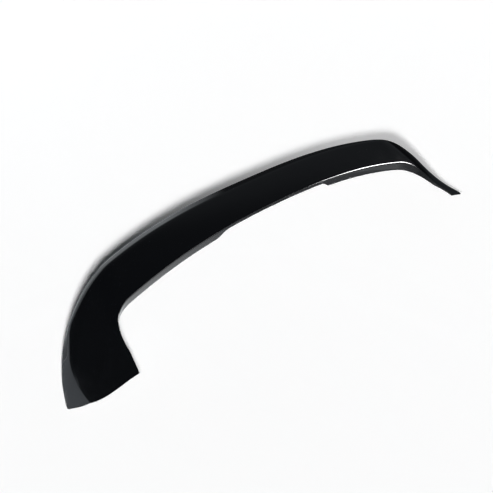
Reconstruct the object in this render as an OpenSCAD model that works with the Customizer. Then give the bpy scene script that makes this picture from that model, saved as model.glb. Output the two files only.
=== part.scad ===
/* [Overall] */
// Width across the outer corners of the two lobe tips
overall_w = 1180; // [1080:5:1300]
// Height of the leading rim at the middle above the lobe tips
crown_h = 172; // [150:1:205]
// How far the lobe tips reach back from the middle of the leading rim
tip_back = 214.5; // [185:0.5:250]

/* [Leading rim] */
// Half width at which the blade ends and the shoulder begins
blade_half_w = 391; // [340:1:440]
// How far the rim has swept back where the blade ends
rim_sweep = 39.5; // [26:0.5:56]
// How far the rim has dropped where the blade ends
rim_drop = 18; // [10:1:28]
// Power of the rim's sweep in plan, where 2 is a parabola
sweep_power = 2.6; // [2.1:0.1:3.1]
// Power of the rim's crown seen from behind
crown_power = 2.9; // [2.4:0.1:3.5]
// Length of the shoulder's pull along the blade
shoulder_in = 96; // [76:1:120]
// Length of the shoulder's pull along the lobe
shoulder_out = 133; // [105:1:160]
// Outward heading of the rim at the lobe tip, in degrees
tip_heading = 9; // [5:0.5:14]
// Downward pitch of the rim at the lobe tip, in degrees
tip_dive = 1.5; // [0.5:0.5:6]

/* [Leading flange] */
// Inward width of the flange at the middle
flange_w_mid = 27; // [20:0.5:34]
// Height of the flange at the middle
flange_h_mid = 12.5; // [9:0.5:16]
// Inward width of the flange at the shoulder
flange_w_shoulder = 4; // [2.5:0.25:8]
// Height of the flange at the shoulder
flange_h_shoulder = 13; // [10:0.5:17]
// Inward width of the side facet at the lobe tip
facet_w = 45.5; // [38:0.5:56]
// Height of the side facet at the lobe tip
facet_h = 26; // [21:0.5:32]
// How far the facet's crease runs past the rim at the lobe tip
facet_lead = 27; // [20:1:36]
// How far the facet's rear edge bows out
facet_bow = 5; // [0:0.5:8]

/* [Ridge] */
// Depth of the blade from the leading rim to the ridge at the middle
chord = 120.5; // [100:0.5:142]
// Height of the ridge above the leading rim at the middle
ridge_rise = 8.5; // [4:0.5:13]
// Half width at which the ridge starts to turn into the inner corner
ridge_half_w = 394; // [355:1:425]
// How far the ridge has swept back where the corner begins
ridge_sweep = 23.5; // [15:0.5:32]
// How far the ridge has dropped where the corner begins
ridge_drop = 44; // [34:1:56]
// Power of the ridge's sweep in plan
ridge_sweep_power = 1.9; // [1.7:0.1:2.4]
// Power of the ridge's crown seen from behind
ridge_crown_power = 2.6; // [2.1:0.1:3.1]
// Half width between the lobes where the straight inner edge begins
inner_half_w = 448; // [430:1:470]
// How far the inner corner reaches back from the end of the blade's ridge
corner_back = 91; // [76:1:108]
// Drop of the ridge through the inner corner
corner_drop = 40; // [30:1:50]
// Length of the inner corner's pull along the blade
corner_in = 63; // [48:1:76]
// Length of the inner corner's pull along the straight inner edge
corner_out = 12; // [8:1:16]
// Outward run of the straight inner edge
inner_out = 6.5; // [3:0.5:12]
// Rearward run of the straight inner edge
inner_back = 49.5; // [40:0.5:60]
// Drop of the straight inner edge
inner_drop = 6; // [2:0.5:9]
// How far the rear edge of the lobe bows out, most of it near the crease
tip_bow = 6; // [0:0.5:9]
// How far the foot of the inner face is set forward at the lobe tip
tip_under = 5; // [0:0.5:7]
// Length of the rounding on each side of the ridge
ridge_round = 4; // [2.5:0.25:6]

/* [Rear face and lip] */
// Height of the rear face under the ridge
rear_face_h = 11.5; // [9:0.5:15]
// Depth of the lip below the rear face
lip_h = 18; // [14:0.5:22]
// How far the rear face leans forward over its height
rear_lean = 3.5; // [2:0.25:5]
// How far the lip leans forward over its height
lip_lean = 5.75; // [4:0.25:7.5]
// Width of the stretch at the middle without a lip
lip_gap_w = 275; // [225:5:330]
// Length of the run-out at each end of the lip
lip_run_out = 30; // [20:1:45]
// Height of the inner face at the lobe tip
tip_face_h = 6; // [6:0.5:12]

/* [Skin and wall] */
// Thickness of the moulded wall
wall = 3; // [2.5:0.1:3.4]
// Crown of the skin between the leading crease and the ridge
skin_crown = 2.5; // [1:0.25:4]
// Length of the rounding on each side of the leading crease along the blade
crease_round = 8; // [5:0.5:10]
// Length of the rounding on each side of the crease at the lobe tip
facet_round = 1.2; // [0.8:0.1:3]

/* [Ribs] */
// Largest spacing of the stiffening ribs across the underside
rib_pitch = 100; // [80:1:130]
// Thickness of a rib at its free edge
rib_t = 2.5; // [2:0.1:3.2]
// Draft of a rib on each side
rib_draft = 0.6; // [0.4:0.1:1]
// Share of the hollow's depth that the ribs fill
rib_share = 0.8; // [0.6:0.01:0.95]
// Thickness of the long rib that runs from lobe to lobe
spine_t = 2.5; // [2:0.1:3.2]
// Share of the hollow's depth that the long rib fills
spine_share = 0.6; // [0.4:0.01:0.75]
// Place of the long rib across the skin, as a share of its depth from the crease
spine_place = 0.56; // [0.45:0.01:0.66]
// Thickness of the closed end of each lobe
end_wall = 3; // [2.5:0.1:3.8]

/* [Hidden] */
// Stations of one half: 0 at the middle, 1 at the blade's end, turn at the corner's end, 3 at the tip
tip_s = 3;
turn = 2.4;
// Station from which the lobe's end bows out
bow_s = 2;
// Station by which the flange has its shoulder size, and the one from which the side facet grows
shoulder_s = 2.1;
facet_s = 1.84;
// Power by which the side facet grows to the tip
facet_power = 1.1;
// Stations over which the rear face runs down to its height at the tip
face_fade = 1.85;
// Place of the bend in a rear face that has no lip, as a share of its height
plain_bend = 0.7;
// Largest share of a side that a rounding takes
round_limit = 0.4;
// Intervals in a rounding
round_steps = 3;

// Frame lines at the middle, the blade's end and the tip
rim_mid = [0, 0, crown_h];
rim_end = [blade_half_w, -rim_sweep, crown_h - rim_drop];
rim_tip = [overall_w / 2, -tip_back, 0];
ridge_mid = [0, -chord, crown_h + ridge_rise];
ridge_end = ridge_mid + [ridge_half_w, -ridge_sweep, -ridge_drop];
ridge_corner = [inner_half_w, ridge_end.y - corner_back, ridge_end.z - corner_drop];
ridge_tip = ridge_corner + [inner_out, -inner_back, -inner_drop];

function unit(v) = v / norm(v);
function lerp(a, b, t) = a + (b - a) * t;
function clamp(t) = min(1, max(0, t));
function smooth(t) = let (k = clamp(t)) k * k * (3 - 2 * k);
function quad(a, b, c, t) = lerp(lerp(a, b, t), lerp(b, c, t), t);
function cubic(p, t) = lerp(quad(p[0], p[1], p[2], t), quad(p[1], p[2], p[3], t), t);

// Blade line between two frame points, and its heading at the far one
function blade(a, b, n, m, s) = [b.x * s, lerp(a.y, b.y, pow(s, n)), lerp(a.z, b.z, pow(s, m))];
function heading(a, b, n, m) = unit([b.x, n * (b.y - a.y), m * (b.z - a.z)]);

// Leading rim
tip_dir = [sin(tip_heading) * cos(tip_dive), -cos(tip_heading) * cos(tip_dive), -sin(tip_dive)];
rim_pull = heading(rim_mid, rim_end, sweep_power, crown_power) * shoulder_in;
rim_arc = [rim_end, rim_end + rim_pull, rim_tip - tip_dir * shoulder_out, rim_tip];
function rim(s) = s <= 1
    ? blade(rim_mid, rim_end, sweep_power, crown_power, s)
    : cubic(rim_arc, (s - 1) / (tip_s - 1));

// Ridge, with its corner and the straight inner edge of the lobe
ridge_pull = heading(ridge_mid, ridge_end, ridge_sweep_power, ridge_crown_power) * corner_in;
inner_pull = unit(ridge_tip - ridge_corner) * corner_out;
ridge_arc = [ridge_end, ridge_end + ridge_pull, ridge_corner - inner_pull, ridge_corner];
function ridge(s) = s <= 1
    ? blade(ridge_mid, ridge_end, ridge_sweep_power, ridge_crown_power, s)
    : s <= turn
        ? cubic(ridge_arc, (s - 1) / (turn - 1))
        : lerp(ridge_corner, ridge_tip, (s - turn) / (tip_s - turn));

// Run of a line around a station: along it, and in plan
step = 0.002;
function rim_run(s) = unit(rim(min(tip_s, s + step)) - rim(max(0, s - step)));
function ridge_run(s) = unit(ridge(min(tip_s, s + step)) - ridge(max(0, s - step)));
function plan(v) = unit([v.x, v.y, 0]);
function inward(v) = [plan(v).y, -plan(v).x, 0];

// Leading crease, set in and up from the rim by the flange
function grown(mid, shoulder, tip, s) =
    mid + (shoulder - mid) * pow(min(1, s / shoulder_s), 2) + (tip - shoulder) * facet(s);
function facet(s) = pow(max(0, (s - facet_s) / (tip_s - facet_s)), facet_power);
function crease(s) = rim(s)
    + inward(rim_run(s)) * grown(flange_w_mid, flange_w_shoulder, facet_w, s)
    + [0, 0, grown(flange_h_mid, flange_h_shoulder, facet_h, s)]
    + plan(rim_run(s)) * facet_lead * facet(s);
function crease_run(s) = unit(crease(min(tip_s, s + step)) - crease(max(0, s - step)));
function crease_r(s) = lerp(crease_round, facet_round, clamp(facet(s)));

// Height of the rear face with its lip, and the part of it that is the rear face
function lip_on(s) = smooth((ridge(s).x - lip_gap_w / 2) / lip_run_out);
function on_lobe(s) = smooth((s - 1) / face_fade);
function face_h(s) = lerp(rear_face_h + lip_h * lip_on(s), tip_face_h, on_lobe(s));
function rear_part(s) = lerp(plain_bend, rear_face_h / (rear_face_h + lip_h), lip_on(s));
function lean(s) = (1 - clamp((s - 1) / 2)) * (rear_lean + lip_lean * lip_on(s));
function near_tip(s) = pow(max(0, s - bow_s) / (tip_s - bow_s), 2);
function rear_at(s, part, lean_part) = ridge(s)
    - [0, 0, face_h(s) * part]
    - inward(ridge_run(s)) * lean(s) * lean_part
    - ridge_run(s) * tip_under * near_tip(s) * part;

// Rounded corner of three points
function corner(a, p, b, r) =
    let (k = min(r, round_limit * norm(a - p), round_limit * norm(b - p)))
    [for (i = [0:round_steps]) quad(p + unit(a - p) * k, p, p + unit(b - p) * k, i / round_steps)];

// Section from rim to crease, over the skin to the ridge and down the rear face
function section(e, c, top, h, m, g, c_r, h_r, places) =
    let (a = corner(e, c, top, c_r), b = corner(top, h, m, h_r))
    concat([e, (e + a[0]) / 2], a, [for (t = places) quad(a[round_steps], top, b[0], t)], b, [m, g]);

// Offset of the corner of two faces by the wall, and of an open edge kept level
function set_in(p, n1, n2) = p - wall * (n1 + n2) / (1 + n1 * n2);
function level_in(p, n, d) = p - wall * n + d * (wall * n.z / d.z);
// Length of the inner rounding that keeps the wall even
function inner_r(r, n1, n2) = max(r / 4, r - wall * sqrt((1 - n1 * n2) / (1 + n1 * n2)));

// Place in a section of the long rib's flat side: after the flange, a rounding and three skin points
spine_i = 2 + (round_steps + 1) + 3;

// One station: outer points, then the inner ones back to the rim
function ring(s, share) =
    let (
        e = rim(s),
        c = crease(s),
        h = ridge(s),
        part = rear_part(s),
        lean_part = lerp(plain_bend, rear_lean / (rear_lean + lip_lean), lip_on(s)),
        m = rear_at(s, part, lean_part),
        g = rear_at(s, 1, 1),
        up = unit(cross(h - c, crease_run(s) + ridge_run(s))),
        top = (c + h) / 2 + up * 2 * skin_crown,
        n_flange = unit(cross(c - e, rim_run(s) + crease_run(s))),
        n_front = unit(cross(top - c, crease_run(s))),
        n_back = unit(cross(h - top, ridge_run(s))),
        n_rear = unit(cross(g - h, ridge_run(s))),
        e2 = level_in(e, n_flange, unit(c - e)),
        c2 = set_in(c, n_flange, n_front),
        h2 = set_in(h, n_back, n_rear),
        g2 = level_in(g, n_rear, unit(g - h)),
        m2 = lerp(h2, g2, part) + m - lerp(h, g, part),
        half = spine_t / 2 / norm(h - c),
        edge = half + rib_draft / norm(h - c),
        p = spine_place,
        places = [p / 3, p * 2 / 3, p - edge, p - half, p + half, p + edge, (p + 1) / 2],
        c_r = crease_r(s),
        outer = section(e, c, top, h, m, g, c_r, ridge_round, places),
        inner = section(e2, c2, top - up * wall, h2, m2, g2,
            inner_r(c_r, n_flange, n_front), inner_r(ridge_round, n_back, n_rear), places),
        last = len(inner) - 1,
        base = g2 - e2,
        skin_out = (crease_run(s) + ridge_run(s)) / 2 * tip_bow * near_tip(s),
        facet_out = plan(rim_run(s)) * facet_bow * near_tip(s),
        filled = [for (i = [0:last]) let (
            q = inner[i],
            k = share_of(q - e2, base),
            w = i == 0 || i == last ? 0 : i == spine_i || i == spine_i + 1 ? max(share, spine_share) : share
        ) lerp(q, e2 + base * k, w)]
    )
    [for (q = concat(outer, [for (i = [last:-1:0]) filled[i]]))
        let (k = share_of(q - c, h - c), f = share_of(q - c, e - c))
        q + skin_out * k * (1 - k) * (1 - k) / bow_peak + facet_out * 4 * f * (1 - f)];

// Share of b that a reaches along it
function share_of(a, b) = clamp(a * b / (b * b));
// Largest value of k (1 - k) (1 - k), which lies a third of the way from the crease
bow_peak = 4 / 27;

// Millimetres per station step, halfway between rim and ridge
function pace(s) = norm(rim(s) + ridge(s) - rim(max(0, s - step)) - ridge(max(0, s - step)))
    / 2 / (s - max(0, s - step));

// Ribs divide each half into even bays
blade_bays = ceil(blade_half_w / rib_pitch);
lobe_bays = ceil(norm(rim_tip + ridge_tip - rim_end - ridge_end) / 2 / rib_pitch);
knots = concat([for (i = [0:blade_bays]) i / blade_bays],
    [for (i = [1:lobe_bays]) 1 + (tip_s - 1) * i / lobe_bays]);
blade_steps = 6;
lobe_steps = 8;
// A bay that holds the run-out of the lip is drawn finer
run_out_steps = 14;
function bay_steps(a, b) = a >= 1 ? lobe_steps
    : ridge(a).x < lip_gap_w / 2 + lip_run_out && ridge(b).x > lip_gap_w / 2 ? run_out_steps
        : blade_steps;
end_share = 0.96;
function bay(a, b) =
    let (
        ends = b == tip_s,
        t = ends ? end_wall : rib_t / 2,
        va = pace(max(a, step)),
        vb = pace(b),
        a1 = a + rib_t / 2 / va,
        a2 = a1 + rib_draft / va,
        b1 = b - t / vb,
        b2 = b1 - rib_draft / vb,
        n = bay_steps(a, b)
    )
    concat([[a1, rib_share], [a2, 0]],
        [for (j = [1:n - 1]) [lerp(a2, b2, j / n), 0]],
        [[b2, 0], [b1, ends ? end_share : rib_share]],
        ends ? [[tip_s, end_share]] : []);
stations = [for (i = [0:len(knots) - 2]) each bay(knots[i], knots[i + 1])];

// Shift that brings the middle of the depth to the origin
y_mid = -min([for (p = ring(tip_s, end_share)) p.y]) / 2;

// Loft through the rings of both halves, closed at the two lobe tips
module spoiler_shell()
    color([0.03, 0.03, 0.035])
        translate([0, y_mid, 0]) {
            right = [for (k = stations) ring(k[0], k[1])];
            count = len(right);
            left = [for (i = [count - 1:-1:0]) [for (p = right[i]) [-p.x, p.y, p.z]]];
            rings = concat(left, right);
            n = len(rings[0]);
            tail = (len(rings) - 1) * n;
            sides = [for (i = [0:len(rings) - 2], j = [0:n - 1])
                let (a = i * n + j, b = i * n + (j + 1) % n)
                each [[a, b + n, b], [a, a + n, b + n]]];
            first_end = [for (j = [0:n / 2 - 2]) each [[j, j + 1, n - 1 - j], [j + 1, n - 2 - j, n - 1 - j]]];
            last_end = [for (f = first_end) [tail + f[0], tail + f[2], tail + f[1]]];
            polyhedron([for (r = rings) each r], concat(sides, first_end, last_end));
        }

spoiler_shell();
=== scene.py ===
"""Gloss-black roof spoiler: one moulded shell with its ribs, on a pale studio floor."""

import math

import bmesh
import bpy
import numpy as np
from bpy.props import FloatProperty, FloatVectorProperty, PointerProperty
from bpy.types import Operator, Panel, PropertyGroup
from mathutils import Matrix, Vector


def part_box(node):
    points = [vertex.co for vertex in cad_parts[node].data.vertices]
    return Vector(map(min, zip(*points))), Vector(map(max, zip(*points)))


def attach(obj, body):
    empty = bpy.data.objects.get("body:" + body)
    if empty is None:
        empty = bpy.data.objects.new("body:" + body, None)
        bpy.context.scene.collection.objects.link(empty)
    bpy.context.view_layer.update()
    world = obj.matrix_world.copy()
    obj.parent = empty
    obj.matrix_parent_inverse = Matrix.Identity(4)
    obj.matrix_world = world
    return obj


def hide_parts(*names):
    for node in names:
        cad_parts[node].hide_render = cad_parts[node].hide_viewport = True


bl_info = {
    "name": "Roof spoiler",
    "version": (1, 0, 0),
    "blender": (4, 5, 0),
    "location": "View3D > Sidebar > Spoiler",
    "description": "Builds a moulded roof spoiler with its ribs, its gloss-black finish and a pale studio",
    "category": "Object",
}

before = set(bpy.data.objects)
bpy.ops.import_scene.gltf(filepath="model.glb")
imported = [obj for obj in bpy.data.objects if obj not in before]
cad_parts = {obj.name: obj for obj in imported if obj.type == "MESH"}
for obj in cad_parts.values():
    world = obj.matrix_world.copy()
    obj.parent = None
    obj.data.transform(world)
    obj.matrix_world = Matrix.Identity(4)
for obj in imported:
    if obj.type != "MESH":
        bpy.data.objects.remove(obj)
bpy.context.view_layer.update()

SHELL = "spoiler_shell"
TIP = 3.0  # station at the lobe tip: 0 is the middle, 1 the end of the blade
TURN = 2.4  # station at which the inner corner has turned into the straight inner edge
SHOULDER = 2.1  # station by which the flange has its shoulder size
FACET = 2.0  # station from which the side facet grows
BOW = 2.0  # station from which the lobe's end bows out
BOW_PEAK = 4 / 27  # largest value of k (1 - k) (1 - k)
STEP = 0.002  # station step of a tangent
FACET_POWERS = (1.1, 2.6, 2.5)  # powers by which its width, height and lead grow to the tip
FACET_CROWN = 0.2  # share of the skin's crown that is left at the tip
FACE_FADE = 1.85  # stations over which the rear face runs down to its height at the tip
PLAIN_BEND = 0.7  # place of the bend in a rear face that has no lip, as a share of its height
ROUND_LIMIT = 0.4  # largest share of a side that a rounding takes
INNER_ROUND = 0.25  # least rounding inside the wall, as a share of the outer one

# Points of a section from the rim to the foot of the rear face
FLANGE_POINTS = 5
CREASE_POINTS = 7
SKIN_POINTS = 22
RIDGE_POINTS = 9
REAR_POINTS = 4
LIP_POINTS = 4

# Numbers of stations in each half
BLADE_STATIONS = 84
LOBE_STATIONS = 84
SPINE_STATIONS = 90

# Places near the tip, counted in end walls before it
EVEN_UNTIL = 2.0  # the even stations stop here
END_STATIONS = (1.6, 1.3, 1.15, 1.0, 0.5, 0.0)  # the stations that follow them
CLOSED_FROM = 1.01  # the hollow is closed from here on

END_FILL = 0.97  # share of the hollow's depth that a closed end fills
RIB_FOOT = 0.0006  # how far a rib's root is let into the wall
TOUCHING = 1e-6  # points that are nearer than this are one
BEVEL_ANGLE = math.radians(32)  # free edges that turn more than this are rounded
BOX_TOLERANCE = 0.002  # how far the shell's box may be from its box in the frame

FLOOR_HALF = 12.0  # half width of the floor
SHADOW_RUN = (-0.3, 0.5)  # stretch of x over which the shown share of the shadow changes
TONE_RUN = (-0.35, 0.05)  # stretch of x over which a card's tone changes
FAR_YAW = math.radians(35)  # heading of the studio's lighter side
STUDIO_TINT = (0.85, 0.92, 1, 1)  # the studio's light is a little blue


# Small helpers


def hex_linear(code):
    """A linear colour from an sRGB hex code."""
    parts = [int(code[i : i + 2], 16) / 255 for i in (0, 2, 4)]
    return tuple(c / 12.92 if c <= 0.04045 else ((c + 0.055) / 1.055) ** 2.4 for c in parts)


def length(name, text, mm):
    """A length property, given in millimetres."""
    return FloatProperty(name=name, description=text, default=mm / 1000, unit="LENGTH", precision=4)


def number(name, text, value):
    """A plain factor."""
    return FloatProperty(name=name, description=text, default=value, precision=3)


def degrees(name, text, value):
    """An angle property, given in degrees."""
    return FloatProperty(name=name, description=text, default=math.radians(value), subtype="ANGLE")


def colour(name, text, code):
    """A colour property, given as an sRGB hex code."""
    return FloatVectorProperty(
        name=name, description=text, default=hex_linear(code), subtype="COLOR", size=3, min=0, max=1
    )


# Settings


class SpoilerSizes(PropertyGroup):
    """Driving sizes of the moulded shell."""

    overall_w: length("Width", "Width across the outer corners of the two lobe tips", 1180)
    crown_h: length("Crown height", "Height of the leading rim at the middle", 172)
    tip_back: length("Tip reach", "How far the lobe tips reach back", 214.5)
    blade_half_w: length("Blade half width", "Half width at which the shoulder begins", 391)
    rim_sweep: length("Rim sweep", "Sweep of the rim where the blade ends", 39.5)
    rim_drop: length("Rim drop", "Drop of the rim where the blade ends", 18)
    sweep_power: number("Sweep power", "Power of the rim's sweep in plan", 2.6)
    crown_power: number("Crown power", "Power of the rim's crown from behind", 2.9)
    shoulder_in: length("Shoulder in", "Pull of the shoulder along the blade", 96)
    shoulder_out: length("Shoulder out", "Pull of the shoulder along the lobe", 133)
    tip_heading: degrees("Tip heading", "Outward heading of the rim at the tip", 9)
    tip_dive: degrees("Tip dive", "Downward pitch of the rim at the tip", 1.5)
    flange_w_mid: length("Flange width", "Inward width of the flange at the middle", 27)
    flange_h_mid: length("Flange height", "Height of the flange at the middle", 12.5)
    flange_w_shoulder: length("Shoulder width", "Width of the flange at the shoulder", 4)
    flange_h_shoulder: length("Shoulder height", "Height of the flange at the shoulder", 13)
    facet_w: length("Facet width", "Inward width of the side facet at the tip", 44.5)
    facet_h: length("Facet height", "Height of the side facet at the tip", 31)
    facet_lead: length("Facet lead", "How far the facet's crease runs past the rim", 28.5)
    facet_bow: length("Facet bow", "How far the facet's rear edge bows out", 2.5)
    chord: length("Chord", "Depth of the blade at the middle", 120.5)
    ridge_rise: length("Ridge rise", "Height of the ridge above the rim", 8.5)
    ridge_half_w: length("Ridge half width", "Half width at which the corner begins", 394)
    ridge_sweep: length("Ridge sweep", "Sweep of the ridge at the corner", 23.5)
    ridge_drop: length("Ridge drop", "Drop of the ridge at the corner", 44)
    ridge_sweep_power: number("Ridge sweep power", "Power of the ridge's sweep", 1.9)
    ridge_crown_power: number("Ridge crown power", "Power of the ridge's crown", 2.6)
    inner_half_w: length("Inner half width", "Half width between the lobes", 448)
    corner_back: length("Corner reach", "How far the inner corner reaches back", 91)
    corner_drop: length("Corner drop", "Drop of the ridge through the corner", 40)
    corner_in: length("Corner in", "Pull of the corner along the blade", 63)
    corner_out: length("Corner out", "Pull of the corner along the inner edge", 12)
    inner_out: length("Inner edge out", "Outward run of the straight inner edge", 6.5)
    inner_back: length("Inner edge back", "Rearward run of the straight inner edge", 49.5)
    inner_drop: length("Inner edge drop", "Drop of the straight inner edge", 6)
    tip_bow: length("Tip bow", "How far the lobe's rear edge bows out", 6)
    tip_under: length("Tip foot", "How far the inner face's foot is set forward at the tip", 5)
    ridge_round: length("Ridge rounding", "Rounding on each side of the ridge", 4)
    rear_face_h: length("Rear face", "Height of the rear face under the ridge", 11.5)
    lip_h: length("Lip", "Depth of the lip below the rear face", 18)
    rear_lean: length("Rear lean", "Forward lean of the rear face", 3.5)
    lip_lean: length("Lip lean", "Forward lean of the lip", 5.75)
    lip_gap_w: length("Lip gap", "Width of the stretch without a lip", 275)
    lip_run_out: length("Lip run-out", "Length of each run-out of the lip", 30)
    tip_face_h: length("Tip face", "Height of the inner face at the lobe tip", 6)
    wall: length("Wall", "Thickness of the moulded wall", 3)
    skin_crown: length("Skin crown", "Crown of the skin between crease and ridge", 2.5)
    crease_round: length("Crease rounding", "Rounding on each side of the blade's crease", 8)
    facet_round: length("Facet rounding", "Rounding on each side of the crease at the tip", 1.2)
    edge_round: length("Edge rounding", "Rounding of the moulding's free edges", 0.6)
    rib_pitch: length("Rib spacing", "Largest spacing of the cross ribs", 100)
    rib_t: length("Rib", "Thickness of a rib at its free edge", 2.5)
    rib_draft: length("Rib draft", "Draft of a rib on each side", 0.6)
    rib_share: number("Rib share", "Share of the hollow's depth that ribs fill", 0.8)
    spine_share: number("Spine share", "Share of the depth that the long rib fills", 0.6)
    spine_place: number("Spine place", "Place of the long rib across the skin", 0.56)
    end_wall: length("End wall", "Thickness of the closed end of each lobe", 3)


class SpoilerFinish(PropertyGroup):
    """Colours and surface of the shell."""

    lacquer: colour("Gloss black", "Pigment under the clear coat", "07080a")
    resin: colour("Bare resin", "Unpainted plastic of the underside", "141517")
    coat_roughness: number("Coat roughness", "Roughness of the polished clear coat", 0.03)


class SpoilerStage(PropertyGroup):
    """Floor, light and camera."""

    floor: colour("Floor", "Pale studio floor", "fdfdfd")
    shadow_left: number("Left shadow", "Share of the floor's shadow that shows on the left", 1.0)
    shadow_right: number("Right shadow", "Share of the floor's shadow that shows on the right", 0.52)
    key_level: number("Key level", "Share of the floor's plain level that the key light gives", 0.96)
    key_at: FloatVectorProperty(
        name="Key light",
        description="Where the key light hangs, just in front of the camera",
        default=(-0.6, -0.64, 0.78),
        size=3,
    )
    key_size: length("Key light size", "Diameter of the key light", 100)
    wall_yaw: degrees("Wall heading", "Where the bright low wall stands, from +X towards +Y", 128.0)
    focal: number("Focal length", "Focal length in millimetres on a 36 mm sensor", 39.25)
    camera_at: FloatVectorProperty(
        name="Camera",
        description="Where the camera stands",
        default=(-0.6231, -0.7136, 0.9563),
        size=3,
    )
    camera_yaw: degrees("Camera yaw", "Heading of the view, from +X towards +Y", 54.0)
    camera_pitch: degrees("Camera pitch", "How far the view looks down", 43.8)


# Lines of the shell


def unit(v):
    return v / np.linalg.norm(v, axis=-1, keepdims=True)


def lerp(a, b, t):
    return a + (b - a) * t


def smooth(t):
    t = np.clip(t, 0, 1)
    return t * t * (3 - 2 * t)


def quad(a, b, c, t):
    return lerp(lerp(a, b, t), lerp(b, c, t), t)


def cubic(p, t):
    return lerp(quad(p[0], p[1], p[2], t), quad(p[1], p[2], p[3], t), t)


def point(*xyz):
    return np.array(xyz, float)


def dot(a, b):
    return (a * b).sum(-1, keepdims=True)


class Lines:
    """Rim, crease and ridge of one half, and the sections between them. s is a column of stations."""

    def __init__(self, d):
        self.d = d
        self.rim_mid = point(0, 0, d.crown_h)
        self.rim_end = point(d.blade_half_w, -d.rim_sweep, d.crown_h - d.rim_drop)
        tip = point(d.overall_w / 2, -d.tip_back, 0)
        self.ridge_mid = point(0, -d.chord, d.crown_h + d.ridge_rise)
        self.ridge_end = self.ridge_mid + point(d.ridge_half_w, -d.ridge_sweep, -d.ridge_drop)
        corner = point(
            d.inner_half_w, self.ridge_end[1] - d.corner_back, self.ridge_end[2] - d.corner_drop
        )
        inner_tip = corner + point(d.inner_out, -d.inner_back, -d.inner_drop)
        a, e = d.tip_heading, d.tip_dive
        tip_dir = point(math.sin(a) * math.cos(e), -math.cos(a) * math.cos(e), -math.sin(e))
        pull = self.heading(self.rim_mid, self.rim_end, d.sweep_power, d.crown_power)
        self.rim_arc = (
            self.rim_end,
            self.rim_end + pull * d.shoulder_in,
            tip - tip_dir * d.shoulder_out,
            tip,
        )
        pull = self.heading(
            self.ridge_mid, self.ridge_end, d.ridge_sweep_power, d.ridge_crown_power
        )
        self.ridge_arc = (
            self.ridge_end,
            self.ridge_end + pull * d.corner_in,
            corner - unit(inner_tip - corner) * d.corner_out,
            corner,
        )
        self.inner_tip = inner_tip

    @staticmethod
    def heading(a, b, n, m):
        return unit(point(b[0], n * (b[1] - a[1]), m * (b[2] - a[2])))

    @staticmethod
    def blade(a, b, n, m, s):
        s = np.clip(s, 0, 1)
        return np.hstack([b[0] * s, lerp(a[1], b[1], s**n), lerp(a[2], b[2], s**m)])

    def rim(self, s):
        d = self.d
        inner = self.blade(self.rim_mid, self.rim_end, d.sweep_power, d.crown_power, s)
        outer = cubic(self.rim_arc, (np.clip(s, 1, TIP) - 1) / (TIP - 1))
        return np.where(s <= 1, inner, outer)

    def ridge(self, s):
        d = self.d
        blade = self.blade(
            self.ridge_mid, self.ridge_end, d.ridge_sweep_power, d.ridge_crown_power, s
        )
        corner = cubic(self.ridge_arc, (np.clip(s, 1, TURN) - 1) / (TURN - 1))
        edge = lerp(self.ridge_arc[3], self.inner_tip, (np.clip(s, TURN, TIP) - TURN) / (TIP - TURN))
        return np.where(s <= 1, blade, np.where(s <= TURN, corner, edge))

    def run(self, line, s):
        """Unit run of a line at each station."""
        return unit(line(np.minimum(TIP, s + STEP)) - line(np.maximum(0, s - STEP)))

    @staticmethod
    def plan(v):
        """The level direction of a run."""
        return unit(v * point(1, 1, 0))

    def inward(self, v):
        """The level direction across a run, towards the inside of the arch."""
        p = self.plan(v)
        return np.stack([p[:, 1], -p[:, 0], 0 * p[:, 0]], 1)

    @staticmethod
    def facet(s, power=FACET_POWERS[0]):
        return np.clip((s - FACET) / (TIP - FACET), 0, None) ** power

    def grown(self, middle, shoulder, tip, s, power):
        return (
            middle
            + (shoulder - middle) * np.minimum(1, s / SHOULDER) ** 2
            + (tip - shoulder) * self.facet(s, power)
        )

    def crease(self, s):
        d, run = self.d, self.run(self.rim, s)
        for_width, for_height, for_lead = FACET_POWERS
        width = self.grown(d.flange_w_mid, d.flange_w_shoulder, d.facet_w, s, for_width)
        height = self.grown(d.flange_h_mid, d.flange_h_shoulder, d.facet_h, s, for_height)
        return (
            self.rim(s)
            + self.inward(run) * width
            + point(0, 0, 1) * height
            + self.plan(run) * d.facet_lead * self.facet(s, for_lead)
        )

    def lip_on(self, s):
        d = self.d
        return smooth((self.ridge(s)[:, :1] - d.lip_gap_w / 2) / d.lip_run_out)

    def face_h(self, s):
        d = self.d
        on_lobe = smooth((s - 1) / FACE_FADE)
        return lerp(d.rear_face_h + d.lip_h * self.lip_on(s), d.tip_face_h, on_lobe)

    @staticmethod
    def near_tip(s):
        return (np.clip(s - BOW, 0, None) / (TIP - BOW)) ** 2

    def rear_at(self, s, part, lean_part):
        d, run = self.d, self.run(self.ridge, s)
        on_blade = 1 - np.clip((s - 1) / (TIP - 1), 0, 1)
        lean = on_blade * (d.rear_lean + d.lip_lean * self.lip_on(s))
        return (
            self.ridge(s)
            - point(0, 0, 1) * self.face_h(s) * part
            - self.inward(run) * lean * lean_part
            - run * d.tip_under * self.near_tip(s) * part
        )

    @staticmethod
    def corner(a, p, b, r, n):
        """n points that round the corner p between a and b."""
        shorter = np.minimum(np.linalg.norm(a - p, axis=1), np.linalg.norm(b - p, axis=1))
        k = np.minimum(r, ROUND_LIMIT * shorter)[:, None]
        start, end = p + unit(a - p) * k, p + unit(b - p) * k
        return [quad(start, p, end, t) for t in np.linspace(0, 1, n)]

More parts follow.
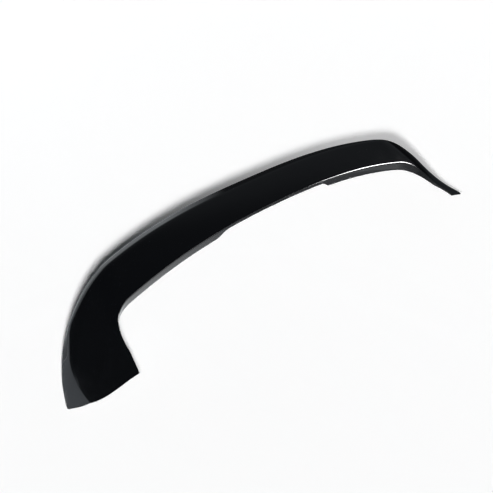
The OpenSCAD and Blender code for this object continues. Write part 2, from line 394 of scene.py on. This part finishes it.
    def section(self, e, c, top, h, m, g, c_r, h_r):
        """Points from the rim over the skin to the foot of the rear face, fine where it bends.

        e is the rim, c the crease, top what the skin is drawn towards and h the ridge. m is the bend
        in the rear face and g its foot. c_r and h_r are the roundings of crease and ridge.
        """
        a = self.corner(e, c, top, c_r, CREASE_POINTS)
        b = self.corner(top, h, m, h_r, RIDGE_POINTS)
        flange = [lerp(e, a[0], t) for t in np.linspace(0, 1, FLANGE_POINTS)[:-1]]
        skin = [quad(a[-1], top, b[0], t) for t in np.linspace(0, 1, SKIN_POINTS)[1:-1]]
        rear = [lerp(b[-1], m, t) for t in np.linspace(0, 1, REAR_POINTS)[1:]]
        lip = [lerp(m, g, t) for t in np.linspace(0, 1, LIP_POINTS)[1:]]
        return np.stack(flange + a + skin + b + rear + lip, 1)

    def faces(self, s):
        """Outer and inner points of the section at each station, without ribs."""
        d = self.d
        e, c, h = self.rim(s), self.crease(s), self.ridge(s)
        on = self.lip_on(s)
        part = lerp(PLAIN_BEND, d.rear_face_h / (d.rear_face_h + d.lip_h), on)
        lean_part = lerp(PLAIN_BEND, d.rear_lean / (d.rear_lean + d.lip_lean), on)
        m, g = self.rear_at(s, part, lean_part), self.rear_at(s, 1, 1)
        rim_run, crease_run, ridge_run = (
            self.run(line, s) for line in (self.rim, self.crease, self.ridge)
        )
        up = unit(np.cross(h - c, crease_run + ridge_run))
        on_facet = np.clip(self.facet(s), 0, 1)
        top = (c + h) / 2 + up * 2 * d.skin_crown * lerp(1, FACET_CROWN, on_facet)
        n_flange = unit(np.cross(c - e, rim_run + crease_run))
        n_front = unit(np.cross(top - c, crease_run))
        n_back = unit(np.cross(h - top, ridge_run))
        n_rear = unit(np.cross(g - h, ridge_run))
        level = lambda p, n, run: p - d.wall * n + run * (d.wall * n[:, 2:] / run[:, 2:])
        set_in = lambda p, n, o: p - d.wall * (n + o) / (1 + dot(n, o))
        e2, g2 = level(e, n_flange, unit(c - e)), level(g, n_rear, unit(g - h))
        c2, h2 = set_in(c, n_flange, n_front), set_in(h, n_back, n_rear)
        m2 = lerp(h2, g2, part) + m - lerp(h, g, part)
        c_r = lerp(d.crease_round, d.facet_round, on_facet[:, 0])
        outer = self.section(e, c, top, h, m, g, c_r, d.ridge_round)
        half_turn = lambda n, o: np.sqrt((1 - dot(n, o)) / (1 + dot(n, o)))[:, 0]
        inner_r = lambda r, n, o: np.maximum(r * INNER_ROUND, r - d.wall * half_turn(n, o))
        c_r2, h_r2 = inner_r(c_r, n_flange, n_front), inner_r(d.ridge_round, n_back, n_rear)
        inner = self.section(e2, c2, top - up * d.wall, h2, m2, g2, c_r2, h_r2)
        skin_out = ((crease_run + ridge_run) / 2 * d.tip_bow * self.near_tip(s))[:, None]
        facet_out = (self.plan(rim_run) * d.facet_bow * self.near_tip(s))[:, None]
        # Both bows leave the ends of the skin and of the flange where they are
        for loop in (outer, inner):
            from_crease = loop - c[:, None]
            k, f = self.share_of(from_crease, h - c), self.share_of(from_crease, e - c)
            loop += skin_out * k * (1 - k) ** 2 / BOW_PEAK + facet_out * 4 * f * (1 - f)
        return outer, inner

    @staticmethod
    def share_of(a, b):
        """Share of b that each point of a reaches along it."""
        b = b[:, None]
        return np.clip((a * b).sum(-1) / (b * b).sum(-1), 0, 1)[..., None]

    def to_mouth(self, inner, share):
        """Inner points, moved a share of their way to the line across the mouth of the hollow."""
        start, mouth = inner[:, :1], inner[:, -1] - inner[:, 0]
        across = self.share_of(inner - start, mouth)
        return lerp(inner, start + mouth[:, None] * across, share)

    def end_span(self):
        """Thickness of the closed end of the lobe, in stations."""
        tip = np.array([[TIP]])
        behind = self.rim(tip - STEP) + self.ridge(tip - STEP)
        pace = np.linalg.norm(self.rim(tip) + self.ridge(tip) - behind, axis=1) / 2 / STEP
        return self.d.end_wall / pace[0]

    def knots(self):
        """Stations of the cross ribs, which divide each half into even bays."""
        d = self.d
        lobe = self.rim_arc[3] + self.inner_tip - self.rim_end - self.ridge_end
        blade_bays = math.ceil(d.blade_half_w / d.rib_pitch)
        lobe_bays = math.ceil(np.linalg.norm(lobe) / 2 / d.rib_pitch)
        return [i / blade_bays for i in range(blade_bays + 1)] + [
            1 + (TIP - 1) * i / lobe_bays for i in range(1, lobe_bays + 1)
        ]


def ring_mesh(name, rings):
    """Mesh of a lofted closed loop, whose first and last rings are closed with strips."""
    count, n, _ = rings.shape
    i, j = np.meshgrid(np.arange(count - 1), np.arange(n), indexing="ij")
    a, b = i * n + j, i * n + (j + 1) % n
    quads = np.stack([a, a + n, b + n, b], -1).reshape(-1, 4).tolist()
    first = [[k, k + 1, n - 2 - k, n - 1 - k] for k in range(n // 2 - 1)]
    tail = (count - 1) * n
    quads += first + [[tail + v for v in reversed(f)] for f in first]
    mesh = bpy.data.meshes.new(name)
    mesh.from_pydata(rings.reshape(-1, 3).tolist(), [], quads)
    mesh.validate()
    return mesh


def add_object(name, mesh):
    """An object at the origin, in the scene's collection."""
    thing = bpy.data.objects.new(name, mesh)
    bpy.context.scene.collection.objects.link(thing)
    return thing


def node(tree, kind, links=None, **settings):
    """Adds a node with its settings. links maps an input to a value or to another node's output."""
    made = tree.nodes.new(kind)
    for key, value in settings.items():
        setattr(made, key, value)
    for key, value in (links or {}).items():
        socket = made.inputs[key]
        if isinstance(value, bpy.types.NodeSocket):
            tree.links.new(value, socket)
        else:
            socket.default_value = value
    return made


def maths(tree, operation, *values):
    """The result of a Math node."""
    return node(tree, "ShaderNodeMath", dict(enumerate(values)), operation=operation).outputs[0]


def ramp(tree, value, low, high, at_low, at_high, kind="LINEAR"):
    """Runs from at_low to at_high while the value runs from low to high, and stays level beyond."""
    links = {"Value": value, "From Min": low, "From Max": high, "To Min": at_low, "To Max": at_high}
    return node(tree, "ShaderNodeMapRange", links, interpolation_type=kind).outputs["Result"]


def sheet(name, corners):
    """A flat sheet with four corners."""
    mesh = bpy.data.meshes.new(name)
    mesh.from_pydata(corners, [], [(0, 1, 2, 3)])
    return add_object(name, mesh)


def rectangle(x, y, z):
    """Corners of a level rectangle between two values of x and two of y."""
    return [(x[0], y[0], z), (x[1], y[0], z), (x[1], y[1], z), (x[0], y[1], z)]


def new_material(name):
    """An empty node material, and its node tree."""
    material = bpy.data.materials.new(name)
    material.use_nodes = True
    material.node_tree.nodes.clear()
    return material, material.node_tree


# Materials


def gloss_black_lacquer():
    """ABS, injection moulded and painted piano black under a polished clear coat."""
    finish = bpy.context.scene.spoiler_finish
    material, tree = new_material("gloss_black_lacquer")
    where = node(tree, "ShaderNodeTexCoord").outputs["Object"]
    # Polishing leaves cloudy patches a few centimetres wide that only soften the reflections a little
    cloud = node(tree, "ShaderNodeTexNoise", {"Vector": where, "Scale": 28.0, "Detail": 3.0})
    base = ramp(tree, cloud.outputs["Fac"], low=0.35, high=0.7, at_low=0.12, at_high=0.2)
    # Orange peel of the coat: waves of about 6 mm, a few micrometres high
    peel = node(tree, "ShaderNodeTexNoise", {"Vector": where, "Scale": 160.0, "Detail": 1.0})
    waves = {"Height": peel.outputs["Fac"], "Strength": 0.02, "Distance": 0.001}
    bump = node(tree, "ShaderNodeBump", waves)
    shader = node(
        tree,
        "ShaderNodeBsdfPrincipled",
        {
            "Base Color": (*finish.lacquer, 1),
            "Roughness": base,
            "IOR": 1.5,
            "Specular IOR Level": 0.25,
            "Coat Weight": 1.0,
            "Coat Roughness": finish.coat_roughness,
            "Coat IOR": 1.5,
            "Coat Normal": bump.outputs["Normal"],
        },
    )
    node(tree, "ShaderNodeOutputMaterial", {"Surface": shader.outputs[0]})
    return material


def bare_moulded_resin():
    """The same ABS left bare below: satin, with the fine texture of the mould."""
    finish = bpy.context.scene.spoiler_finish
    material, tree = new_material("bare_moulded_resin")
    where = node(tree, "ShaderNodeTexCoord").outputs["Object"]
    # Spark-eroded mould texture of about 1 mm, drawn a little coarser than the real grit
    grit = node(tree, "ShaderNodeTexNoise", {"Vector": where, "Scale": 900.0, "Detail": 2.0})
    pits = {"Height": grit.outputs["Fac"], "Strength": 0.15, "Distance": 0.0004}
    bump = node(tree, "ShaderNodeBump", pits)
    flow = node(tree, "ShaderNodeTexNoise", {"Vector": where, "Scale": 14.0, "Detail": 4.0})
    rough = ramp(tree, flow.outputs["Fac"], low=0, high=1, at_low=0.38, at_high=0.58)
    shader = node(
        tree,
        "ShaderNodeBsdfPrincipled",
        {
            "Base Color": (*finish.resin, 1),
            "Roughness": rough,
            "IOR": 1.53,
            "Normal": bump.outputs["Normal"],
        },
    )
    node(tree, "ShaderNodeOutputMaterial", {"Surface": shader.outputs[0]})
    return material


def studio_floor():
    """Matt white paper. It lights the object as paper does, and shows white with a soft shadow."""
    settings = bpy.context.scene.spoiler_stage
    material, tree = new_material("studio_floor_paper")
    paper = node(tree, "ShaderNodeBsdfDiffuse", {"Color": (*settings.floor, 1)})
    # Seen or mirrored, the paper's tone is painted brighter the farther it lies from the key light, to
    # even out that lamp, which reaches it the flatter the farther off it is.
    # To the right, more of the plain white glow is painted over the shadow as painted fill light, so less
    # of the shadow shows
    where = node(tree, "ShaderNodeTexCoord").outputs["Object"]
    from_key = node(
        tree, "ShaderNodeVectorMath", {0: where, 1: settings.key_at}, operation="DISTANCE"
    ).outputs["Value"]
    # painted light: the paper's tone grows with its distance from the key light
    even = maths(tree, "DIVIDE", from_key, Vector(settings.key_at).length)
    tone = node(
        tree, "ShaderNodeVectorMath", {0: tuple(settings.floor), "Scale": even}, operation="SCALE"
    )
    shadowed = node(tree, "ShaderNodeBsdfDiffuse", {"Color": tone.outputs[0]})
    plain = node(tree, "ShaderNodeEmission", {"Color": (*settings.floor, 1), "Strength": 1.0})
    across = node(tree, "ShaderNodeSeparateXYZ", {0: where}).outputs["X"]
    # painted fill light: the share of the shadow that is kept falls towards the right, where the white
    # glow covers the rest
    keep = ramp(tree, across, *SHADOW_RUN, settings.shadow_left, settings.shadow_right)
    white = node(
        tree, "ShaderNodeMixShader", {0: keep, 1: plain.outputs[0], 2: shadowed.outputs[0]}
    )
    mixed = node(
        tree, "ShaderNodeMixShader", {0: shown(tree), 1: paper.outputs[0], 2: white.outputs[0]}
    )
    node(tree, "ShaderNodeOutputMaterial", {"Surface": mixed.outputs[0]})
    return material


def shown(tree):
    """1 for a ray that shows a surface: from the camera, in a mirror or through glass."""
    path = node(tree, "ShaderNodeLightPath").outputs
    seen = maths(tree, "MAXIMUM", path["Is Camera Ray"], path["Is Glossy Ray"])
    return maths(tree, "MAXIMUM", seen, path["Is Transmission Ray"])


# Ribs


def rib_tree(material):
    """Geometry Nodes that give rib sheets thickness and draft. root is 1 where a rib meets the skin."""
    tree = bpy.data.node_groups.new("drafted_ribs", "GeometryNodeTree")
    face = tree.interface
    face.new_socket("Sheets", in_out="INPUT", socket_type="NodeSocketGeometry")
    for name, text in (("Thickness", "at the free edge"), ("Draft", "on each side at the root")):
        socket = face.new_socket(name, in_out="INPUT", socket_type="NodeSocketFloat")
        socket.subtype, socket.min_value, socket.description = "DISTANCE", 0, text
    face.new_socket("Ribs", in_out="OUTPUT", socket_type="NodeSocketGeometry")
    given = node(tree, "NodeGroupInput")
    named = "GeometryNodeInputNamedAttribute"
    side = node(tree, named, {"Name": "side"}, data_type="FLOAT_VECTOR").outputs["Attribute"]
    root = node(tree, named, {"Name": "root"}, data_type="FLOAT").outputs["Attribute"]
    half = maths(tree, "MULTIPLY", given.outputs["Thickness"], 0.5)
    reach = maths(tree, "MULTIPLY_ADD", root, given.outputs["Draft"], half)
    back = maths(tree, "MULTIPLY", reach, -1.0)
    full = maths(tree, "MULTIPLY", reach, 2.0)
    to_back = node(tree, "ShaderNodeVectorMath", {0: side, "Scale": back}, operation="SCALE")
    to_front = node(tree, "ShaderNodeVectorMath", {0: side, "Scale": full}, operation="SCALE")
    rear = node(
        tree,
        "GeometryNodeSetPosition",
        {"Geometry": given.outputs["Sheets"], "Offset": to_back.outputs[0]},
    ).outputs[0]
    grown = node(
        tree, "GeometryNodeExtrudeMesh", {"Mesh": rear, "Offset Scale": 0.0, "Individual": False}
    ).outputs
    front = node(
        tree,
        "GeometryNodeSetPosition",
        {"Geometry": grown["Mesh"], "Selection": grown["Top"], "Offset": to_front.outputs[0]},
    ).outputs[0]
    flipped = node(tree, "GeometryNodeFlipFaces", {"Mesh": rear}).outputs[0]
    both = node(tree, "GeometryNodeJoinGeometry")
    for part in (front, flipped):
        tree.links.new(part, both.inputs[0])
    closed = node(
        tree, "GeometryNodeMergeByDistance", {"Geometry": both.outputs[0], "Distance": TOUCHING}
    )
    real = node(tree, "GeometryNodeRealizeInstances", {"Geometry": closed.outputs[0]})
    clad = node(tree, "GeometryNodeSetMaterial", {"Geometry": real.outputs[0], "Material": material})
    out = node(tree, "NodeGroupOutput")
    tree.links.new(clad.outputs[0], out.inputs[0])
    return tree


def set_input(modifier, name, value):
    """Sets a Geometry Nodes input by its socket's identifier."""
    for item in modifier.node_group.interface.items_tree:
        if item.item_type == "SOCKET" and item.in_out == "INPUT" and item.name == name:
            modifier[item.identifier] = value
            return
    raise RuntimeError("no input " + name)


def rib_sheets(lines):
    """Middle sheets of the right half's cross ribs and long rib: rows of (root, free edge, side)."""
    d, sheets = lines.d, []

    def web(s, share):
        """Roots on the skin's inner side and free edges towards the mouth, along each section."""
        outer, inner = lines.faces(s)
        return inner + unit(outer - inner) * RIB_FOOT, lines.to_mouth(inner, share)

    for knot in lines.knots()[:-1]:
        s = np.array([[knot]])
        root, free = web(s, d.rib_share)
        side = unit(lines.run(lines.rim, s) + lines.run(lines.ridge, s))
        sheets.append((root[0], free[0], np.repeat(side, root.shape[1], 0)))
    s = np.linspace(0, TIP - lines.end_span(), SPINE_STATIONS)[:, None]
    root, free = web(s, d.spine_share)
    first = FLANGE_POINTS - 1 + CREASE_POINTS - 1  # where the skin begins in a section
    at = first + d.spine_place * (SKIN_POINTS - 1)
    low, part = int(at), at - int(at)
    pick = lambda grid: lerp(grid[:, low], grid[:, low + 1], part)
    across = unit(root[:, low + 1] - root[:, low])
    sheets.append((pick(root), pick(free), across))
    return sheets


def ribs_mesh(lines, shift, material):
    """Every rib of both halves as closed drafted plates."""
    verts, faces, side, root = [], [], [], []
    for roots, frees, sides in rib_sheets(lines):
        for flip in (1, -1):
            turn = point(flip, 1, 1)
            if flip < 0 and abs(roots[:, 0]).max() < TOUCHING:
                continue  # the middle rib is its own mirror image
            base, n = len(verts), len(roots)
            verts += ((np.vstack([roots, frees]) + shift) * turn).tolist()
            side += (np.vstack([sides, sides]) * turn).tolist()
            root += [1.0] * n + [0.0] * n
            for k in range(n - 1):
                quad_face = [base + k, base + k + 1, base + n + k + 1, base + n + k]
                faces.append(quad_face if flip > 0 else quad_face[::-1])
    mesh = bpy.data.meshes.new("rib_sheets")
    mesh.from_pydata(verts, [], faces)
    mesh.attributes.new("side", "FLOAT_VECTOR", "POINT").data.foreach_set("vector", np.ravel(side))
    mesh.attributes.new("root", "FLOAT", "POINT").data.foreach_set("value", root)
    thing = add_object("rib_sheets", mesh)
    modifier = thing.modifiers.new("ribs", "NODES")
    modifier.node_group = rib_tree(material)
    set_input(modifier, "Thickness", lines.d.rib_t)
    set_input(modifier, "Draft", lines.d.rib_draft)
    graph = bpy.context.evaluated_depsgraph_get()
    made = bpy.data.meshes.new_from_object(thing.evaluated_get(graph))
    bpy.data.objects.remove(thing)
    return made


# Operators


class SPOILER_OT_shell(Operator):
    """Moulds the shell with its ribs and gives it its gloss-black finish"""

    bl_idname = "spoiler.shell"
    bl_label = "Moulded shell"

    def execute(self, context):
        sizes = context.scene.spoiler_sizes
        lines = Lines(sizes)
        end = lines.end_span()
        blade = np.linspace(0, 1, BLADE_STATIONS)
        lobe = np.linspace(1, TIP, LOBE_STATIONS)[1:]
        even = np.concatenate([blade, lobe])
        even = even[even < TIP - EVEN_UNTIL * end]
        s = np.unique(np.concatenate([even, [TIP - end * k for k in END_STATIONS]]))[:, None]
        outer, inner = lines.faces(s)
        # Each lobe's end is closed by a wall that reaches down to the mouth of the hollow
        closed = (s > TIP - end * CLOSED_FROM)[..., None]
        inner = np.where(closed, lines.to_mouth(inner, END_FILL), inner)
        right = np.concatenate([outer, inner[:, ::-1]], 1)
        shift = point(0, -right[..., 1].min() / 2, 0)
        right = right + shift
        left = right[:0:-1] * point(-1, 1, 1)
        mesh = ring_mesh("moulded_shell", np.concatenate([left, right]))
        lacquer, resin = gloss_black_lacquer(), bare_moulded_resin()
        mesh.materials.append(lacquer)
        mesh.materials.append(resin)
        n, half = right.shape[1], right.shape[1] // 2
        rings = left.shape[0] + right.shape[0] - 1
        kind = np.zeros(len(mesh.polygons), int)
        kind[: rings * n].reshape(rings, n)[:, half:-1] = 1
        mesh.polygons.foreach_set("material_index", kind)
        shell = add_object("moulded_shell", mesh)
        shell.data.shade_smooth()
        bevel = shell.modifiers.new("free_edges", "BEVEL")
        bevel.width, bevel.segments, bevel.limit_method = sizes.edge_round, 2, "ANGLE"
        bevel.angle_limit = BEVEL_ANGLE
        bevel.use_clamp_overlap = True
        graph = context.evaluated_depsgraph_get()
        finished = bpy.data.meshes.new_from_object(shell.evaluated_get(graph))
        shell.modifiers.clear()
        shell.data = finished
        ribs = ribs_mesh(lines, shift, resin)
        ribs.polygons.foreach_set("material_index", [1] * len(ribs.polygons))
        whole = bmesh.new()
        for part in (finished, ribs):
            whole.from_mesh(part)
        whole.to_mesh(finished)
        whole.free()
        low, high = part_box(SHELL)
        mine = np.array([v.co for v in shell.data.vertices])
        off = max(np.abs(mine.min(0) - low).max(), np.abs(mine.max(0) - high).max())
        if off > BOX_TOLERANCE:
            raise RuntimeError(f"the shell's box is {off * 1000:.1f} mm off the frame's box")
        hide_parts(SHELL)
        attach(shell, "root")
        return {"FINISHED"}


class SPOILER_OT_stage(Operator):
    """Sets up the pale floor, the soft studio light and the camera"""

    bl_idname = "spoiler.stage"
    bl_label = "Studio"

    def execute(self, context):
        settings = context.scene.spoiler_stage
        span = (-FLOOR_HALF, FLOOR_HALF)
        floor = sheet("floor", rectangle(span, span, 0))
        floor.data.materials.append(studio_floor())
        self.world(settings)
        self.key(settings)
        self.ridge_strip(at=(1.74, -0.9, 1.12), aim=(0.28, 0.02, 0.16), size=(1.0, 0.9), power=125)
        # Beyond the far lobe, and in front of the rim, glowing cards that only the shell's reflections
        # show paint its reflections darker than the paper would: painted reflections
        self.upright("far_dark_reflection", a=(0.76, -0.45), b=(0.76, 0.7), top=0.2, tones=("141416",) * 2)
        self.upright(
            "front_card",
            a=(-0.9, 0.5),
            b=(0.76, 0.5),
            top=0.25,
            tones=("a9aeb2", "202224"),
            run=(-0.15, 0.1),
        )
        # Laid on the floor, these glowing cards paint darker reflections of the floor into the outward and
        # downward faces; the one under the shell paints them darker towards the right
        self.laid("black_card", x=(0.52, 1.0), y=(-0.4, 0.5), z=0.001, tones=("202224",) * 2)
        self.laid("lip_card", x=(0.1, 0.5), y=(-0.4, -0.03), z=0.001, tones=("96989a",) * 2)
        self.laid("left_card", x=(-4.0, -0.5), y=(-0.2, 2.5), z=0.0005, tones=("a4a9ae",) * 2)
        self.laid("under_card", x=(-0.5, 0.75), y=(-0.4, 0.5), z=0.0005, tones=("d2d4d6", "6c6e70"))
        self.camera(settings)
        context.scene.view_settings.view_transform = "Standard"
        return {"FINISHED"}

    @staticmethod
    def ridge_strip(at, aim, size, power):
        """A lamp that only shows as a reflection: it draws the bright line on the far ridge."""
        light = bpy.data.lights.new("ridge_strip", "AREA")
        light.shape, light.size, light.size_y, light.energy = "RECTANGLE", *size, power
        thing = add_object("ridge_strip", light)
        thing.location = at
        thing.rotation_euler = (Vector(at) - Vector(aim)).to_track_quat("Z", "Y").to_euler()
        thing.visible_diffuse = False

    @staticmethod
    def key(settings):
        """A small soft lamp that hangs by the camera, so that the shadows fall away from it."""
        light = bpy.data.lights.new("key_light", "POINT")
        light.shadow_soft_size = settings.key_size / 2
        at = Vector(settings.key_at)
        # Power for a level of 1 on the floor at the origin, times the share that the lamp gives
        light.energy = 4 * math.pi**2 * settings.key_level * at.length / at.z
        light.use_nodes = True
        tree = light.node_tree
        tree.nodes.clear()
        even = node(tree, "ShaderNodeLightFalloff", {"Strength": 1.0}).outputs["Constant"]
        glow = node(tree, "ShaderNodeEmission", {"Strength": even})
        node(tree, "ShaderNodeOutputLight", {"Surface": glow.outputs[0]})
        thing = add_object("key_light", light)
        thing.location = at
        thing.visible_glossy = False

    @staticmethod
    def card(name, corners, tones, run=TONE_RUN):
        """A glowing card for the shell to mirror, which the camera and the floor don't see; its glow is a
        painted reflection.

        Its tone runs from the first to the second over the stretch of x that run gives.
        """
        card = sheet(name, corners)
        material, tree = new_material(name)
        where = node(tree, "ShaderNodeTexCoord").outputs["Object"]
        across = node(tree, "ShaderNodeSeparateXYZ", {0: where}).outputs["X"]
        place = ramp(tree, across, *run, at_low=0, at_high=1)
        first, second = ((*hex_linear(code), 1) for code in tones)
        tone = node(tree, "ShaderNodeMix", {"Factor": place, 6: first, 7: second}, data_type="RGBA")
        # painted reflection: the card glows with its tone though it is no lamp, and shows only in the
        # shell's reflections
        paper = node(tree, "ShaderNodeEmission", {"Color": tone.outputs[2], "Strength": 1.0})
        node(tree, "ShaderNodeOutputMaterial", {"Surface": paper.outputs[0]})
        card.data.materials.append(material)
        card.visible_camera = card.visible_shadow = card.visible_diffuse = False

    def laid(self, name, x, y, z, tones):
        """A card laid flat on the floor."""
        self.card(name, rectangle(x, y, z), tones)

    def upright(self, name, a, b, top, tones, run=TONE_RUN):
        """A card that stands on the floor between two points."""
        self.card(name, [(*a, 0), (*b, 0), (*b, top), (*a, top)], tones, run)

    @staticmethod
    def world(settings):
        """A dim studio, dimmer overhead, with one bright low wall on the left, and a white backdrop."""
        world = bpy.data.worlds.new("studio")
        bpy.context.scene.world = world
        world.use_nodes = True
        tree = world.node_tree
        tree.nodes.clear()
        way = node(tree, "ShaderNodeTexCoord").outputs["Generated"]
        height = node(tree, "ShaderNodeSeparateXYZ", {0: way}).outputs["Z"]

        def soft(value, low, high, at_low, at_high):
            return ramp(tree, value, low, high, at_low, at_high, "SMOOTHSTEP")

        def towards(yaw):
            heading = (math.cos(yaw), math.sin(yaw), 0)
            return node(
                tree, "ShaderNodeVectorMath", {0: way, 1: heading}, operation="DOT_PRODUCT"
            ).outputs["Value"]

        wall = maths(
            tree,
            "MULTIPLY",
            soft(height, low=0.295, high=0.325, at_low=0.62, at_high=0),
            soft(towards(settings.wall_yaw), low=0.87, high=0.9, at_low=0, at_high=1),
        )
        dim = maths(
            tree,
            "MULTIPLY",
            soft(height, low=0.6, high=0.9, at_low=1, at_high=0.4),
            soft(towards(FAR_YAW), low=-0.3, high=0.6, at_low=0.017, at_high=0.072),
        )
        level = maths(tree, "ADD", wall, dim)
        studio = node(tree, "ShaderNodeBackground", {"Color": STUDIO_TINT, "Strength": level})
        # The camera itself sees a white backdrop
        backdrop = node(tree, "ShaderNodeBackground", {"Color": (*settings.floor, 1), "Strength": 1.0})
        seen = node(tree, "ShaderNodeLightPath").outputs["Is Camera Ray"]
        mixed = node(
            tree, "ShaderNodeMixShader", {0: seen, 1: studio.outputs[0], 2: backdrop.outputs[0]}
        )
        node(tree, "ShaderNodeOutputWorld", {"Surface": mixed.outputs[0]})

    @staticmethod
    def camera(settings):
        data = bpy.data.cameras.new("camera")
        data.lens, data.sensor_width = settings.focal, 36
        thing = add_object("camera", data)
        yaw, pitch = settings.camera_yaw, settings.camera_pitch
        ahead = Vector(
            (math.cos(pitch) * math.cos(yaw), math.cos(pitch) * math.sin(yaw), -math.sin(pitch))
        )
        right = Vector((math.sin(yaw), -math.cos(yaw), 0))
        up = right.cross(ahead)
        turn = Matrix((right, up, -ahead)).transposed().to_4x4()
        thing.matrix_world = Matrix.Translation(settings.camera_at) @ turn
        bpy.context.scene.camera = thing


class SPOILER_PT_panel(Panel):
    """Lists the pieces and their sizes"""

    bl_label = "Roof spoiler"
    bl_idname = "SPOILER_PT_panel"
    bl_space_type = "VIEW_3D"
    bl_region_type = "UI"
    bl_category = "Spoiler"

    def draw(self, context):
        for operator in OPERATORS:
            self.layout.operator(operator.bl_idname)
        for name in GROUPS:
            box = self.layout.box()
            group = getattr(context.scene, name)
            for key in GROUPS[name].__annotations__:
                box.prop(group, key)


GROUPS = {
    "spoiler_sizes": SpoilerSizes,
    "spoiler_finish": SpoilerFinish,
    "spoiler_stage": SpoilerStage,
}
OPERATORS = (SPOILER_OT_shell, SPOILER_OT_stage)


def register():
    for kind in (*GROUPS.values(), *OPERATORS, SPOILER_PT_panel):
        bpy.utils.register_class(kind)
    for name, kind in GROUPS.items():
        setattr(bpy.types.Scene, name, PointerProperty(type=kind))


def unregister():
    for name in GROUPS:
        delattr(bpy.types.Scene, name)
    for kind in reversed((*GROUPS.values(), *OPERATORS, SPOILER_PT_panel)):
        bpy.utils.unregister_class(kind)


def main():
    register()
    bpy.ops.spoiler.shell()
    bpy.ops.spoiler.stage()


if __name__ == "__main__":
    main()
